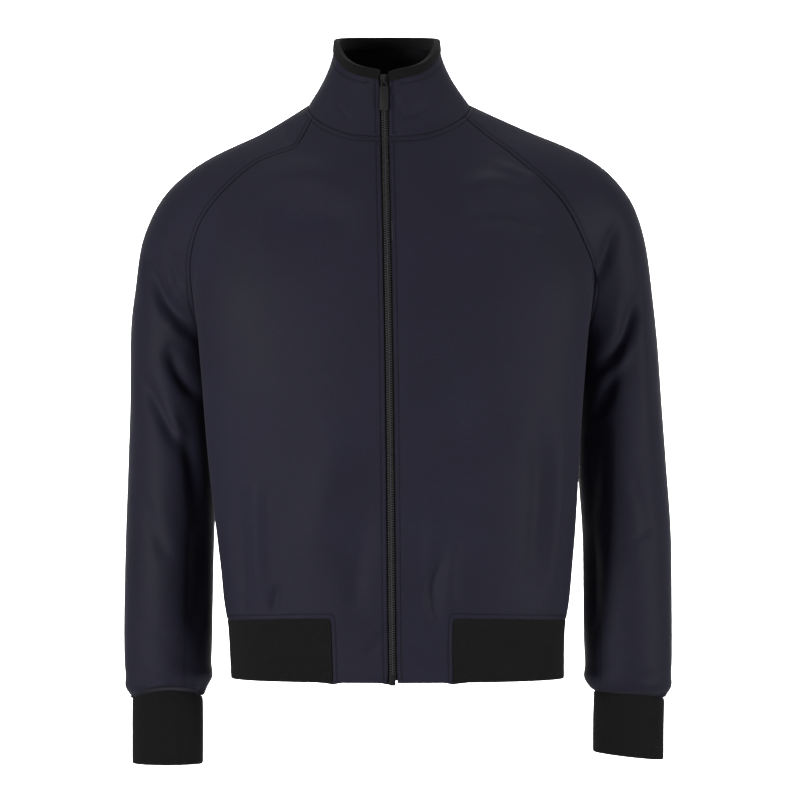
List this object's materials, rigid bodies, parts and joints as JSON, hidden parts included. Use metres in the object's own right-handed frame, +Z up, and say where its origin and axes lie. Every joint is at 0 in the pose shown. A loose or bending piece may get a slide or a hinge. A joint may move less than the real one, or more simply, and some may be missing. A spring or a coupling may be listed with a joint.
{
  "type": "track jacket",
  "caption": "Full-zip raglan track jacket, worn shape, hollow and open at neck, hem and cuffs, with a stand collar, knit hem band and knit cuffs.",
  "frame": {"origin": "middle of the neck opening, level with the highest points of the neck seam", "axes": "+Z up the body, front faces -Y, +X towards the wearer's left"},
  "size_m": [0.6228, 0.2519, 0.8254],
  "materials": {
    "navy_jersey": "smooth matte double jersey",
    "black_knit": "matte fine knit",
    "black_lining": "matte",
    "zip_tape": "matte woven tape",
    "zip_plastic": "satin moulded teeth",
    "zip_metal": "matt black paint"
  },
  "bodies": {
    "jacket": {"back": "navy_jersey", "front_right": "navy_jersey", "front_left": "navy_jersey", "sleeve_right": "navy_jersey", "sleeve_left": "navy_jersey", "cuff_right": "black_knit", "cuff_left": "black_knit", "hem_band": "black_knit", "collar": "navy_jersey", "collar_lining": "black_lining", "collar_trim": "black_knit", "zip_tape_right": "zip_tape", "zip_tape_left": "zip_tape", "zip_chain": "zip_plastic", "zip_box": "zip_plastic", "zip_slider": "zip_metal"},
    "pull": {"zip_pull": "zip_metal"}
  },
  "joints": [
    {"name": "pull_swing", "type": "hinge", "parent": "jacket", "child": "pull", "pos_m": [-0.011, -0.0731, 0.0251], "axis": [-1, 0, 0], "range_deg": [0, 150]}
  ]
}
